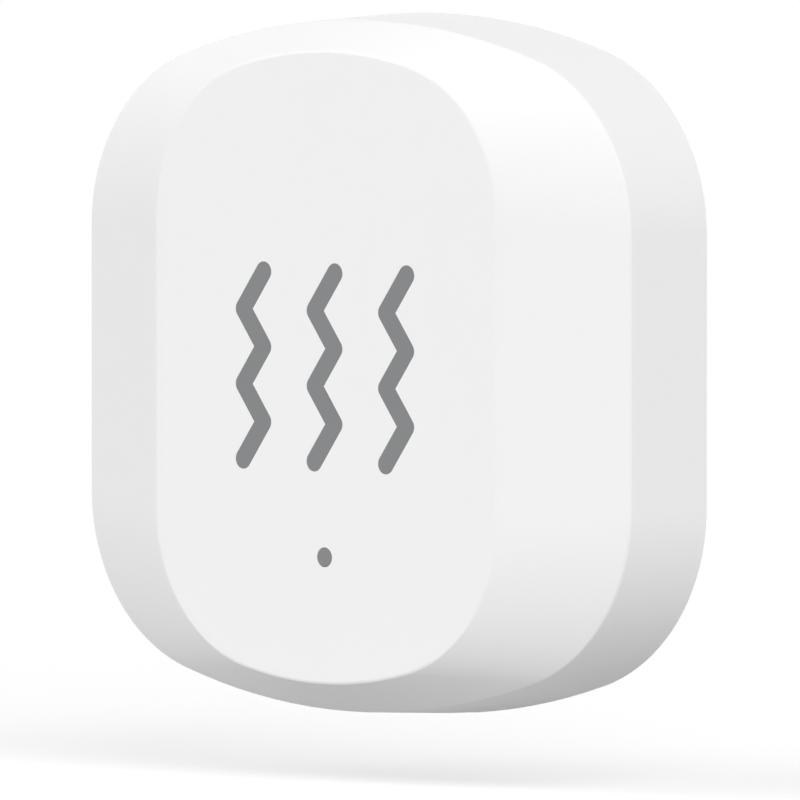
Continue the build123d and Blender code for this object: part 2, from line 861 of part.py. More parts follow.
def bent_lead(x, top, diameter):
    """A wire that runs down out of the plug and bends towards the wall through the board."""
    below = tube_bottom - lead_run
    foot = (x, -(board_back_level - lead_tail), below - lead_bend)
    with BuildPart() as wire:
        with BuildLine() as path:
            run = Line((x, -tube_level, top), (x, -tube_level, below))
            bend = TangentArc(
                (x, -tube_level, below),
                (x, -tube_level + lead_bend, below - lead_bend),
                tangent=run % 1,
            )
            Line(bend @ 1, foot)
        with BuildSketch(Plane(origin=(x, -tube_level, top), x_dir=(1, 0, 0), z_dir=(0, 0, -1))):
            RegularPolygon(diameter / 2, wire_sides)
        sweep(path=path.wire())
    return wire.part


finish(bent_lead(tube_side, tube_top - tube_end - pin_end_gap, pin_diameter), "sensor_pin")
finish(bent_lead(tube_side + coil_radius, tube_bottom + plug_length, lead_diameter), "sensor_lead")


# Sensing coil, rooted just above the plug
def biarc(start, start_way, end, end_way):
    """Two arcs that leave start along start_way, meet smoothly, and reach end along end_way."""
    chord = end - start
    ways = start_way + end_way
    spread = 2 * (1 - start_way.dot(end_way))
    along = chord.dot(ways)
    reach = (-along + sqrt(along**2 + spread * chord.dot(chord))) / spread
    first = start + start_way * reach
    second = end - end_way * reach
    meet = (first + second) / 2
    TangentArc(start, meet, tangent=start_way)
    TangentArc(meet, end, tangent=second - first)


coil_foot = tube_bottom + plug_length + coil_end_gap + coil_wire / 2
climb = coil_pitch / (2 * pi)
coil_steps = 2 * coil_turns
coil_points = []
coil_ways = []
for i in range(coil_steps + 1):
    turn = i * pi
    height = coil_foot + climb * turn
    coil_points.append(
        Vector(tube_side + coil_radius * cos(turn), -tube_level + coil_radius * sin(turn), height)
    )
    coil_ways.append(Vector(-coil_radius * sin(turn), coil_radius * cos(turn), climb).normalized())
with BuildPart() as sensor_coil:
    with BuildLine() as turns:
        for i in range(coil_steps):
            biarc(coil_points[i], coil_ways[i], coil_points[i + 1], coil_ways[i + 1])
    with BuildSketch(Plane(origin=coil_points[0], x_dir=(1, 0, 0), z_dir=coil_ways[0])):
        RegularPolygon(coil_wire / 2, wire_sides)
    sweep(path=turns.wire())
finish(sensor_coil.part, "sensor_coil")
print(f"The coil's turns stand {coil_pitch - coil_wire:.2f} mm apart.")


def chip_row(places, height):
    """Small two-ended chips, all lying along X."""
    with BuildPart() as row:
        with BuildSketch(level(board_level)):
            with Locations(*places):
                Rectangle(chip_length - 2 * chip_end, chip_width)
        extrude(amount=height - chip_end_step)
        with BuildSketch(level(board_level)):
            with Locations(*places):
                with GridLocations(chip_length - chip_end, 0, 2, 1):
                    Rectangle(chip_end, chip_width + 2 * chip_end_step)
        extrude(amount=height)
    return row.part


# Small chips, as shares of the board's half width and half height
capacitor_shares = [(-0.29, -0.93), (-0.47, -0.86), (0.87, -0.42), (0.62, 0.45), (-0.6, 0.24), (0.22, -0.42)]
resistor_shares = [(-0.18, -0.7), (0.2, -0.62), (0.66, -0.12), (0.62, 0.24), (-0.63, 0.05), (0.3, -0.3)]
finish(chip_row(on_board(capacitor_shares), capacitor_height), "chip_capacitors")
finish(chip_row(on_board(resistor_shares), resistor_height), "chip_resistors")

# Buffer capacitor: an aluminium can with a rolled groove, on a base with two cut corners
buffer_can_level = board_level + buffer_base_height
with BuildPart() as buffer_capacitor_base:
    with BuildSketch(level(board_level)) as base_outline:
        with Locations(buffer_place):
            Rectangle(buffer_base_width, buffer_base_width)
        chamfer(base_outline.vertices().sort_by(Axis.X)[-2:], buffer_base_chamfer)
    extrude(amount=buffer_base_height)
finish(buffer_capacitor_base.part, "buffer_capacitor_base")

with BuildPart() as buffer_capacitor:
    with BuildSketch(level(buffer_can_level)):
        with Locations(buffer_place):
            Circle(buffer_diameter / 2)
    extrude(amount=buffer_height)
    chamfer(edges_at(buffer_capacitor, buffer_can_level + buffer_height), buffer_bevel)
    with BuildSketch(level(buffer_can_level + buffer_groove_rise)):
        with Locations(buffer_place):
            Circle(buffer_diameter / 2)
            Circle(buffer_diameter / 2 - buffer_groove, mode=Mode.SUBTRACT)
    extrude(amount=buffer_groove_height, mode=Mode.SUBTRACT)
finish(buffer_capacitor.part, "buffer_capacitor")

# Test pads and the copper antenna
test_pad_shares = [(-0.36, 0.93), (-0.2, 0.93), (0.2, 0.93), (0.36, 0.93), (0.5, -0.1)]
with BuildPart() as test_pads:
    with BuildSketch(level(board_level)):
        with Locations(*on_board(test_pad_shares)):
            Rectangle(test_pad, test_pad)
    extrude(amount=test_pad_height)
finish(test_pads.part, "test_pads")

antenna_side = board_half_width - antenna_side_inset - antenna_reach / 2
antenna_bottom = shield_tall / 2 - shield_drop + antenna_shield_gap
antenna_points = []
for i in range(antenna_turns):
    sides = (-1, 1) if i % 2 == 0 else (1, -1)
    height = antenna_bottom + i * antenna_pitch
    antenna_points += [(-antenna_side + side * antenna_reach / 2, height) for side in sides]
with BuildPart() as board_antenna:
    with BuildSketch(level(board_level)):
        with BuildLine():
            Polyline(*antenna_points)
        trace(line_width=antenna_trace)
    extrude(amount=antenna_height)
finish(board_antenna.part, "board_antenna")
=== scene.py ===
import math
import bpy
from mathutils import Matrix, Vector


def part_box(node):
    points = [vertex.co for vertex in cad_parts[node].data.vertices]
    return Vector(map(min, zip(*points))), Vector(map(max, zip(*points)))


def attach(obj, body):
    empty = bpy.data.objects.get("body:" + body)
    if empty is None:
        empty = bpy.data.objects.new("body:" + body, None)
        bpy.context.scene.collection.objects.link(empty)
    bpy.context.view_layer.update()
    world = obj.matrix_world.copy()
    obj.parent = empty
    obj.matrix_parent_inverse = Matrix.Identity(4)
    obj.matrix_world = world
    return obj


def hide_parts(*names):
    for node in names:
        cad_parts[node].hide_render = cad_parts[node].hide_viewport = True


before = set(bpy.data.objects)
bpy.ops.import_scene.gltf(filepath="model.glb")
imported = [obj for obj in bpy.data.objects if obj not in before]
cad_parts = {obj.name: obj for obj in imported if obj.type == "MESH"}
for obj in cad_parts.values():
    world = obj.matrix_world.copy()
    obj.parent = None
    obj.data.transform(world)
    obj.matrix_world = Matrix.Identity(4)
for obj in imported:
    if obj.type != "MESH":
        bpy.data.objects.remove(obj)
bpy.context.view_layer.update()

MM = 0.001

# The cap's levels along Y, which is 0 at the wall and falls towards the front
FACE_LEVEL = -11.65 * MM
SHOULDER_LEVEL = -8.35 * MM
LEVEL_SLACK = 0.004 * MM

# The width of the round along the cap's face and shoulder, and how far from both of
# these levels a point of the sloping band between them lies
CAP_ROUND = 0.16 * MM
BAND_EDGE = 0.043 * MM

# The Y of a normal on the sloping band lies between these two
BAND_FLATTEST = -0.985
BAND_STEEPEST = -0.2

# The angles in degrees from which the cap's edge gets a round, and counts as a corner
ROUNDED_FROM = 4
CAP_CORNER = 11

# How near two points of a CAD mesh are merged, and within how many degrees two of its
# triangles are one flat face
MERGE_DISTANCE = 0.002 * MM
FLAT_WITHIN = 0.4

# The floor's height, about 4.6 mm below the tag, and the length of its sides
FLOOR_LEVEL = -28.7 * MM
FLOOR_SIDE = 4.0

# The soft light from all round, and the floor's glow where it is seen itself
AIR_STRENGTH = 0.25
GLOW_STRENGTH = 1.11
GLOW_SHARE = 0.5

# The rays that see the studio as plain white, whatever light it gives
SEEING_RAYS = ("Is Camera Ray", "Is Glossy Ray", "Is Transmission Ray")

# Each lamp's name, the azimuth and elevation it stands at as seen from the tag, its
# strength, and the angle it takes up in the sky, with all angles in degrees
LAMPS = (
    ("upper_right_key", 60, 30, 0.70, 50),
    ("upper_left_soft", -20, 50, 0.11, 50),
    ("left_fill", -50, 22, 0.40, 50),
    ("rear_fill", 190, 5, 0.45, 50),
)

# The camera's place as seen from the middle of the face, its lens in millimetres, and
# the shift that frames the tag as the photograph does
CAMERA_AZIMUTH = 41.38
CAMERA_ELEVATION = 2.25
CAMERA_DISTANCE = 0.988
CAMERA_LENS = 650.0
CAMERA_SHIFT = (0.0944, -0.0406)

# A Mix node's colour sockets by number, because their names are not unique
MIX_UNDER, MIX_OVER, MIX_RESULT = 6, 7, 2


def middle_of(node):
    """The middle of a node as seen from the front, as X and Z in metres."""
    low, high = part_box(node)
    return (low[0] + high[0]) / 2, (low[2] + high[2]) / 2


def printed_round(node, gap_mm):
    """The middle and half the size of an outline printed round a node, at a gap from it."""
    low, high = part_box(node)
    gap = gap_mm * MM
    return middle_of(node), ((high[0] - low[0]) / 2 + gap, (high[2] - low[2]) / 2 + gap)


# Outlines printed round the bigger parts, on the front of the circuit board alone
PRINT_WIDTH = 0.16 * MM
BOARD_FRONT = -4.15 * MM
CELL_MIDDLE, (CELL_PRINT_RADIUS, _) = printed_round("cell_holder", 0.45)
PRINTED_BOXES = (
    printed_round("radio_shield", 0.4),
    printed_round("signal_chip", 0.35),
    printed_round("voltage_regulator", 0.3),
    printed_round("switch_body", 0.45),
    printed_round("buffer_capacitor_base", 0.35),
    printed_round("sensor_tube", 0.4),
)

# The copper buried under the board's lacquer: each patch of the board has a chance from
# 0 to 1, which says how its tracks run or that it is poured all over, and a track lies
# where the wave across the tracks is above the cut
TRACK_PITCH = 0.9 * MM
TRACK_PATCH = 4.6 * MM
TRACK_CUT = 0.35
UPRIGHT_BELOW = 0.30
POURED_BELOW = 0.45
SLANTING_ABOVE = 0.55
LEVEL_ABOVE = 0.72

# The gilded rings of the vias, from hole to rim as shares of the spacing
VIA_SPACING_MM = 2.4
VIA_HOLE = 0.045
VIA_RIM = 0.10

# The plus sign pressed into the cell's front, and its height over the cell's middle
PLUS_SIZE = 2.6 * MM
PLUS_STROKE = 0.45 * MM
PLUS_RISE = 5.2 * MM
CELL_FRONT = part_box("cell_can")[0][1] + 0.1 * MM

ON_THE_CAP = ("front_cap", "mark_left", "mark_middle", "mark_right", "light_guide")
MOVING_ALONE = ("switch_button", "sensor_coil")


def body_of_piece(node):
    if node in ON_THE_CAP:
        return "front_cap"
    return node if node in MOVING_ALONE else "base"


class Level:
    """A value inside a finish, so that shader sums are written as sums."""

    def __init__(self, finish, socket):
        self.finish = finish
        self.socket = socket

    def sum_node(self, operation, first, second=0.0):
        made = self.finish.node("Math", {"operation": operation}, {0: first, 1: second})
        return Level(self.finish, made.outputs[0])

    def __add__(self, other):
        return self.sum_node("ADD", self, other)

    def __radd__(self, other):
        return self.sum_node("ADD", other, self)

    def __sub__(self, other):
        return self.sum_node("SUBTRACT", self, other)

    def __rsub__(self, other):
        return self.sum_node("SUBTRACT", other, self)

    def __mul__(self, other):
        return self.sum_node("MULTIPLY", self, other)

    def __rmul__(self, other):
        return self.sum_node("MULTIPLY", other, self)

    def __abs__(self):
        return self.sum_node("ABSOLUTE", self)

    def __gt__(self, other):
        return self.sum_node("GREATER_THAN", self, other)

    def __lt__(self, other):
        return self.sum_node("LESS_THAN", self, other)

    def largest(self, other):
        return self.sum_node("MAXIMUM", self, other)

    def sine(self):
        return self.sum_node("SINE", self)

    def root(self):
        return self.sum_node("SQRT", self)


class Finish:
    """One finish of the tag, built as nodes around the plain surface shader."""

    def __init__(self, name, colour, roughness, metallic=0.0, coat=0.0):
        self.material = bpy.data.materials.new(name)
        self.material.use_nodes = True
        self.tree = self.material.node_tree
        self.shader = self.tree.nodes["Principled BSDF"]
        self.colour = (*colour, 1.0)
        self.feed(self.shader.inputs["Base Color"], self.colour)
        self.feed(self.shader.inputs["Roughness"], roughness)
        self.feed(self.shader.inputs["Metallic"], metallic)
        self.feed(self.shader.inputs["Coat Weight"], coat)

    def feed(self, socket, value):
        if isinstance(value, Level):
            value = value.socket
        if isinstance(value, bpy.types.NodeSocket):
            self.tree.links.new(value, socket)
        else:
            socket.default_value = value

    def node(self, kind, settings=None, sockets=None):
        made = self.tree.nodes.new("ShaderNode" + kind)
        for key, value in (settings or {}).items():
            setattr(made, key, value)
        for key, value in (sockets or {}).items():
            self.feed(made.inputs[key], value)
        return made

    def place(self):
        return self.node("TexCoord").outputs["Object"]

    def cloudy(self, size_mm, detail=2.0, stretch=(1.0, 1.0, 1.0)):
        """A soft random pattern, from nothing to one, with spots of about this size."""
        spread = self.node("Mapping", None, {"Vector": self.place(), "Scale": stretch})
        sockets = {"Vector": spread.outputs[0], "Scale": 1 / (size_mm * MM), "Detail": detail}
        return Level(self, self.node("TexNoise", None, sockets).outputs["Fac"])

    def cells(self, size_mm):
        """A pattern of small round cells, from nothing in their middles to one between them."""
        sockets = {"Vector": self.place(), "Scale": 1 / (size_mm * MM)}
        return Level(self, self.node("TexVoronoi", None, sockets).outputs["Distance"])

    def chances(self, size):
        """Square patches of this size in metres, each with a random value from nothing to one."""
        sockets = {"Vector": self.place(), "Scale": 1 / size}
        patches = self.node("TexVoronoi", {"distance": "CHEBYCHEV"}, sockets)
        parts = self.node("SeparateColor", None, {0: patches.outputs["Color"]})
        return Level(self, parts.outputs[0])

    def axis(self, name):
        made = self.node("SeparateXYZ", None, {0: self.place()})
        return Level(self, made.outputs[name])

    def colour_over(self, under, amount, over):
        """Feeds the base colour from two colours, the upper one as far as a pattern says."""
        made = self.node(
            "Mix",
            {"data_type": "RGBA"},
            {"Factor": amount, MIX_UNDER: under, MIX_OVER: (*over, 1.0)},
        )
        self.feed(self.shader.inputs["Base Color"], made.outputs[MIX_RESULT])
        return self

    def tint(self, amount, other):
        """Blends the plain base colour towards another one by a pattern."""
        return self.colour_over(self.colour, amount, other)

    def tint_over(self, amount, other):
        """Lays another colour over the pattern that the base colour already has."""
        under = self.shader.inputs["Base Color"].links[0].from_socket
        return self.colour_over(under, amount, other)

    def rough(self, pattern, least, most):
        self.feed(self.shader.inputs["Roughness"], pattern * (most - least) + least)
        return self

    def grain(self, pattern, strength, depth_mm):
        sockets = {"Strength": strength, "Distance": depth_mm * MM, "Height": pattern}
        self.feed(self.shader.inputs["Normal"], self.node("Bump", None, sockets).outputs[0])
        return self


def moulded(name, colour, other, roughness, grain_mm, strength=0.12):
    """Moulded plastic with a fine eroded grain and a faint drift of shade."""
    finish = Finish(name, colour, roughness)
    finish.tint(finish.cloudy(size_mm=9.0), other)
    blotches = finish.cloudy(size_mm=1.4, detail=3.0)
    finish.rough(blotches, least=roughness - 0.05, most=roughness + 0.07)
    return finish.grain(finish.cloudy(grain_mm, detail=3.0), strength, depth_mm=0.02)


def plated(name, colour, other, roughness, stretch=(1.0, 1.0, 1.0)):
    """Plated or bare metal with faint rolling lines and a few dull spots."""
    finish = Finish(name, colour, roughness, metallic=1.0)
    lines = finish.cloudy(size_mm=0.35, detail=4.0, stretch=stretch)
    finish.tint(finish.cloudy(size_mm=2.2, detail=3.0), other)
    finish.rough(lines, least=roughness - 0.08, most=roughness + 0.14)
    return finish.grain(lines, strength=0.15, depth_mm=0.01)


def foam_finish():
    """White foam tape with fine bubbles, each painted darker in its middle as painted shade in its
    hollow.
    """
    finish = Finish("white_foam_tape", (0.71, 0.72, 0.71), 0.85)
    bubbles_and_shade = finish.cells(size_mm=0.34)
    # Painted shade: the colour is darker in the middle of each bubble, where its hollow lies
    finish.tint(bubbles_and_shade, (0.83, 0.84, 0.83))
    finish.rough(finish.cloudy(size_mm=0.8), least=0.75, most=0.95)
    return finish.grain(bubbles_and_shade, strength=0.5, depth_mm=0.08)


def printed_box(across, up, middle, half_size):
    """A thin printed line round a rectangle on the board, all in metres."""
    beyond_x = abs(across - middle[0]) - half_size[0]
    beyond_z = abs(up - middle[1]) - half_size[1]
    return abs(beyond_x.largest(beyond_z)) < PRINT_WIDTH / 2


def printed_ring(across, up, middle, radius):
    """A thin printed line round a circle on the board, all in metres."""
    from_x = across - middle[0]
    from_z = up - middle[1]
    return abs((from_x * from_x + from_z * from_z).root() - radius) < PRINT_WIDTH / 2


def tracks(along):
    """Buried tracks side by side, one where a track is and nothing between them."""
    return (along * (2 * math.pi / TRACK_PITCH)).sine() > TRACK_CUT


def buried_copper(finish, across, up):
    """The copper under the lacquer, one where it is, in patches that run different ways."""
    chance = finish.chances(TRACK_PATCH)
    upright = tracks(across) * (chance < UPRIGHT_BELOW)
    level = tracks(up) * (chance > LEVEL_ABOVE)
    slanting = tracks((across + up) * math.sqrt(0.5))
    slanting = slanting * (chance > SLANTING_ABOVE) * (chance < LEVEL_ABOVE)
    poured = (chance > UPRIGHT_BELOW) * (chance < POURED_BELOW)
    return upright + level + slanting + poured


def board_finish():
    """Green lacquer over copper that shows a shade lighter, with vias and printed outlines."""
    finish = Finish("green_lacquer", (0.010, 0.112, 0.043), 0.32, coat=0.25)
    across, up = finish.axis("X"), finish.axis("Z")
    copper = buried_copper(finish, across, up)
    finish.tint(copper, (0.020, 0.165, 0.068))
    vias = finish.cells(VIA_SPACING_MM)
    finish.tint_over((vias < VIA_RIM) * (vias > VIA_HOLE), (0.50, 0.44, 0.26))
    finish.rough(finish.cloudy(size_mm=0.7, detail=3.0), least=0.26, most=0.40)
    finish.grain(copper * 0.8 + finish.cloudy(size_mm=0.5), strength=0.25, depth_mm=0.02)
    outlines = printed_ring(across, up, CELL_MIDDLE, CELL_PRINT_RADIUS)
    for middle, half_size in PRINTED_BOXES:
        outlines = outlines.largest(printed_box(across, up, middle, half_size))
    on_front = finish.axis("Y") < BOARD_FRONT
    return finish.tint_over(outlines * on_front, (0.72, 0.74, 0.72))


def crimped_cell_finish():
    """Brushed steel, with the plus sign that is pressed into the can of every such cell, its groove
    painted darker as painted shade.
    """
    finish = Finish("brushed_cell_steel", (0.62, 0.62, 0.61), 0.24, metallic=1.0)
    brushing = finish.cloudy(size_mm=0.5, detail=4.0, stretch=(0.08, 1.0, 1.0))
    finish.tint(brushing, (0.50, 0.50, 0.50))
    across = abs(finish.axis("X") - CELL_MIDDLE[0])
    up = abs(finish.axis("Z") - (CELL_MIDDLE[1] + PLUS_RISE))
    upright = (across < PLUS_STROKE / 2) * (up < PLUS_SIZE / 2)
    crossing = (up < PLUS_STROKE / 2) * (across < PLUS_SIZE / 2)
    pressed_and_shaded = upright.largest(crossing) * (finish.axis("Y") < CELL_FRONT)
    # Painted shade: the pressed plus is coloured darker, for the shade in its groove
    finish.tint_over(pressed_and_shaded, (0.30, 0.30, 0.30))
    finish.rough(finish.cloudy(size_mm=0.9, detail=4.0), least=0.18, most=0.36)
    return finish.grain(brushing - pressed_and_shaded * 3.0, strength=0.2, depth_mm=0.008)


def milky_lens_finish():
    """The pale resin of the status lamp's lens."""
    finish = Finish("milky_lens", (0.86, 0.90, 0.84), 0.18, coat=0.4)
    finish.tint(finish.cloudy(size_mm=0.5), (0.93, 0.95, 0.92))
    finish.rough(finish.cloudy(size_mm=0.3), least=0.12, most=0.24)
    return finish.grain(finish.cloudy(size_mm=0.2), strength=0.05, depth_mm=0.01)


# Each slot's finish. A moulded one has its colour and the shade it drifts to, its
# roughness, the size of its grain in millimetres, and how strong the grain is. A plated
# one has its two shades, its roughness, and the way its rolling lines are stretched
FINISHES = {
    "cap_white": moulded(
        "white_cap_plastic", (0.880, 0.880, 0.878), (0.872, 0.873, 0.872), 0.52, 0.16, 0.08
    ),
    "plate_white": moulded(
        "white_plate_plastic", (0.86, 0.86, 0.855), (0.84, 0.84, 0.836), 0.5, 0.2
    ),
    "mark_grey": moulded(
        "grey_mark_inlay", (0.193, 0.199, 0.203), (0.184, 0.190, 0.194), 0.5, 0.14, 0.1
    ),
    "guide_grey": moulded(
        "grey_light_guide", (0.200, 0.207, 0.211), (0.186, 0.193, 0.197), 0.3, 0.2, 0.05
    ),
    "foam_pad": foam_finish(),
    "board_green": board_finish(),
    "screw_steel": plated("zinc_screw_steel", (0.60, 0.61, 0.62), (0.46, 0.47, 0.48), 0.30),
    "cell_steel": crimped_cell_finish(),
    "cell_seal": moulded("grey_cell_seal", (0.30, 0.31, 0.32), (0.26, 0.27, 0.28), 0.5, 0.2),
    "holder_black": moulded(
        "black_holder_plastic", (0.016, 0.016, 0.017), (0.024, 0.024, 0.025), 0.5, 0.18, 0.2
    ),
    "contact_nickel": plated(
        "nickel_contact", (0.66, 0.63, 0.58), (0.55, 0.52, 0.47), 0.25, (1.0, 1.0, 0.1)
    ),
    "shield_tin": plated(
        "tinned_shield", (0.67, 0.68, 0.68), (0.56, 0.57, 0.57), 0.34, (0.12, 1.0, 1.0)
    ),
    "chip_black": moulded(
        "black_chip_epoxy", (0.018, 0.018, 0.019), (0.028, 0.028, 0.030), 0.55, 0.1, 0.25
    ),
    "leg_tin": plated("tinned_legs", (0.70, 0.70, 0.69), (0.58, 0.58, 0.57), 0.30),
    "lamp_body": moulded("white_lamp_body", (0.74, 0.74, 0.70), (0.68, 0.68, 0.64), 0.5, 0.12),
    "lamp_lens": milky_lens_finish(),
    "switch_black": moulded(
        "black_switch_plastic", (0.020, 0.020, 0.021), (0.030, 0.030, 0.031), 0.45, 0.16
    ),
    "switch_steel": plated(
        "pressed_switch_steel", (0.63, 0.63, 0.62), (0.50, 0.50, 0.50), 0.28, (1.0, 1.0, 0.12)
    ),
    "tube_black": moulded(
        "black_tube_shrink", (0.020, 0.020, 0.022), (0.032, 0.032, 0.034), 0.38, 0.3
    ),
    "plug_amber": moulded(
        "amber_plug_resin", (0.38, 0.16, 0.03), (0.46, 0.21, 0.05), 0.30, 0.4, 0.1
    ),
    "spring_gold": plated(
        "gold_spring_wire", (0.84, 0.60, 0.27), (0.74, 0.50, 0.20), 0.22, (0.15, 1.0, 1.0)
    ),
    "capacitor_tan": moulded(
        "tan_ceramic", (0.42, 0.27, 0.15), (0.36, 0.23, 0.13), 0.40, 0.1, 0.15
    ),
    "resistor_black": moulded(
        "black_resistor_glaze", (0.025, 0.025, 0.027), (0.04, 0.04, 0.04), 0.25, 0.1
    ),
    "can_aluminium": plated(
        "drawn_aluminium", (0.78, 0.79, 0.80), (0.66, 0.67, 0.68), 0.26, (1.0, 0.1, 1.0)
    ),
    "copper_trace": plated("gilded_copper", (0.82, 0.55, 0.30), (0.72, 0.46, 0.24), 0.35),
    "pad_gold": plated("gold_test_pads", (0.86, 0.66, 0.34), (0.78, 0.58, 0.28), 0.30),
}

# Each node but the cap, with its slot, the width of its edge rounds in millimetres, and
# the angle in degrees from which an edge of it counts as a corner
PIECES = {
    "mark_left": ("mark_grey", 0.0, 30),
    "mark_middle": ("mark_grey", 0.0, 30),
    "mark_right": ("mark_grey", 0.0, 30),
    "light_guide": ("guide_grey", 0.05, 30),
    "base_plate": ("plate_white", 0.12, 30),
    "adhesive_pad": ("foam_pad", 0.10, 30),
    "circuit_board": ("board_green", 0.04, 30),
    "board_screws": ("screw_steel", 0.05, 35),
    "board_antenna": ("copper_trace", 0.0, 30),
    "test_pads": ("pad_gold", 0.0, 30),
    "cell_holder": ("holder_black", 0.10, 30),
    "cell_can": ("cell_steel", 0.12, 30),
    "cell_seal": ("cell_seal", 0.03, 30),
    "cell_cap": ("cell_steel", 0.08, 30),
    "positive_contact": ("contact_nickel", 0.03, 35),
    "negative_contact": ("contact_nickel", 0.03, 35),
    "radio_shield": ("shield_tin", 0.12, 30),
    "radio_chip": ("chip_black", 0.05, 30),
    "radio_crystal": ("shield_tin", 0.08, 30),
    "signal_chip": ("chip_black", 0.06, 30),
    "signal_chip_legs": ("leg_tin", 0.02, 40),
    "voltage_regulator": ("chip_black", 0.06, 30),
    "voltage_regulator_legs": ("leg_tin", 0.02, 40),
    "status_lamp": ("lamp_body", 0.04, 30),
    "status_lamp_lens": ("lamp_lens", 0.08, 30),
    "switch_body": ("switch_black", 0.08, 30),
    "switch_cover": ("switch_steel", 0.04, 30),
    "switch_legs": ("leg_tin", 0.03, 40),
    "switch_dome": ("switch_steel", 0.0, 30),
    "switch_button": ("switch_black", 0.08, 30),
    "sensor_tube": ("tube_black", 0.08, 30),
    "sensor_plug": ("plug_amber", 0.08, 30),
    "sensor_pin": ("spring_gold", 0.04, 70),
    "sensor_lead": ("leg_tin", 0.0, 70),
    "sensor_coil": ("spring_gold", 0.0, 70),
    "chip_capacitors": ("capacitor_tan", 0.04, 30),
    "chip_resistors": ("resistor_black", 0.03, 30),
    "buffer_capacitor": ("can_aluminium", 0.10, 30),
    "buffer_capacitor_base": ("switch_black", 0.06, 30),
}

# Wires whose few sides are rounded, and chips with the share of their length that is
# tinned at each end
ROUND_WIRES = ("sensor_coil", "sensor_lead", "sensor_pin")
TINNED_CHIPS = {"chip_capacitors": 0.22, "chip_resistors": 0.18}
CHIP_SLACK = 0.01 * MM


def alone(piece):
    bpy.ops.object.select_all(action="DESELECT")
    piece.select_set(True)
    bpy.context.view_layer.objects.active = piece


def deselect_mesh():
    """Deselects the whole mesh of the active piece, before edges or faces are picked in code."""
    bpy.ops.object.mode_set(mode="EDIT")
    bpy.ops.mesh.select_mode(type="EDGE")
    bpy.ops.mesh.select_all(action="DESELECT")
    bpy.ops.object.mode_set(mode="OBJECT")


def merged_copy(node, name):
    """A copy of a node's mesh with its triangles joined into whole faces."""
    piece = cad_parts[node].copy()
    piece.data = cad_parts[node].data.copy()
    piece.name = name
    piece.data.name = name
    piece.parent = None
    bpy.context.collection.objects.link(piece)
    alone(piece)
    if piece.data.has_custom_normals:
        bpy.ops.mesh.customdata_custom_splitnormals_clear()
    bpy.ops.object.mode_set(mode="EDIT")
    bpy.ops.mesh.select_all(action="SELECT")
    bpy.ops.mesh.remove_doubles(threshold=MERGE_DISTANCE)
    bpy.ops.mesh.dissolve_limited(angle_limit=math.radians(FLAT_WITHIN))
    bpy.ops.object.mode_set(mode="OBJECT")
    return piece


def round_corners(piece, width_mm, corner):
    alone(piece)
    edge = piece.modifiers.new("edge_round", "BEVEL")
    edge.limit_method = "ANGLE"
    edge.angle_limit = math.radians(corner)
    edge.width = width_mm * MM
    edge.segments = 2
    edge.use_clamp_overlap = True
    bpy.ops.object.modifier_apply(modifier=edge.name)


def round_wire(piece):
    """Turns a wire's few sides into a round section, which stays inside them."""
    alone(piece)
    section = piece.modifiers.new("round_section", "SUBSURF")
    section.levels = section.render_levels = 2
    bpy.ops.object.modifier_apply(modifier=section.name)


def smooth(piece, corner):
    alone(piece)
    bpy.ops.object.shade_smooth_by_angle(angle=math.radians(corner))


def weigh_normals(piece):
    """Lets the big faces keep their flat look beside their narrow edge rounds."""
    alone(piece)
    weighing = piece.modifiers.new("face_weights", "WEIGHTED_NORMAL")
    weighing.keep_sharp = True
    bpy.ops.object.modifier_apply(modifier=weighing.name)


class BowedOutline:
    """An outline with straight sides, bowed ends and round corners, given in millimetres,
    as how far it reaches in each direction of its first quarter, in metres."""

    def __init__(self, width, tall, bow, corner):
        self.bow, self.corner = bow * MM, corner * MM
        self.bow_middle = (tall / 2 - bow) * MM
        self.corner_x = (width / 2 - corner) * MM
        reach = self.bow - self.corner
        self.corner_z = self.bow_middle + math.sqrt(reach**2 - self.corner_x**2)
        self.bow_end = math.asin(self.corner_x / reach)

    def reach(self, turn):
        if math.pi / 2 - turn < self.bow_end:
            return self.bow_middle * math.sin(turn) + self.bow
        return self.corner_x * math.cos(turn) + self.corner_z * math.sin(turn) + self.corner


SHOULDER_OUTLINE = BowedOutline(width=49.2, tall=47.5, bow=52.2, corner=12.6)
FACE_OUTLINE = BowedOutline(width=31.0, tall=43.4, bow=29.6, corner=10.9)

# Directions round the first quarter, each with the reach of both outlines there
STEPS_A_DEGREE = 5
TURNS = [math.radians(step / STEPS_A_DEGREE) for step in range(90 * STEPS_A_DEGREE + 1)]
REACHES = [(turn, SHOULDER_OUTLINE.reach(turn), FACE_OUTLINE.reach(turn)) for turn in TURNS]


def is_on_band(normal):
    return BAND_FLATTEST < normal.y < BAND_STEEPEST


def band_normal(place):
    """The way that the sloping band faces at a place, even round its corners."""
    depth = SHOULDER_LEVEL - FACE_LEVEL
    share = (SHOULDER_LEVEL - place.y) / depth
    x, z = abs(place.x), abs(place.z)

    def beyond_outline(reaches):
        turn, outer, inner = reaches
        return x * math.cos(turn) + z * math.sin(turn) - (1 - share) * outer - share * inner

    turn, outer, inner = max(REACHES, key=beyond_outline)
    normal = Vector((math.cos(turn) * depth, inner - outer, math.sin(turn) * depth))
    normal.x = math.copysign(normal.x, place.x)
    normal.z = math.copysign(normal.z, place.z)
    return normal.normalized()


def sweep_the_band(cap):
    """Turns the normals of the sloping band so that its shade runs evenly round the corners."""
    mesh = cap.data
    on_band = set()
    for face in mesh.polygons:
        if is_on_band(face.normal):
            on_band.update(face.vertices)
    swept = {}
    for index in on_band:
        place = mesh.vertices[index].co
        if FACE_LEVEL + BAND_EDGE < place.y < SHOULDER_LEVEL - BAND_EDGE:
            swept[index] = band_normal(place)
    normals = [corner.vector.copy() for corner in mesh.corner_normals]
    for corner in mesh.loops:
        if corner.vertex_index in swept:
            normals[corner.index] = swept[corner.vertex_index]
    mesh.normals_split_custom_set(normals)


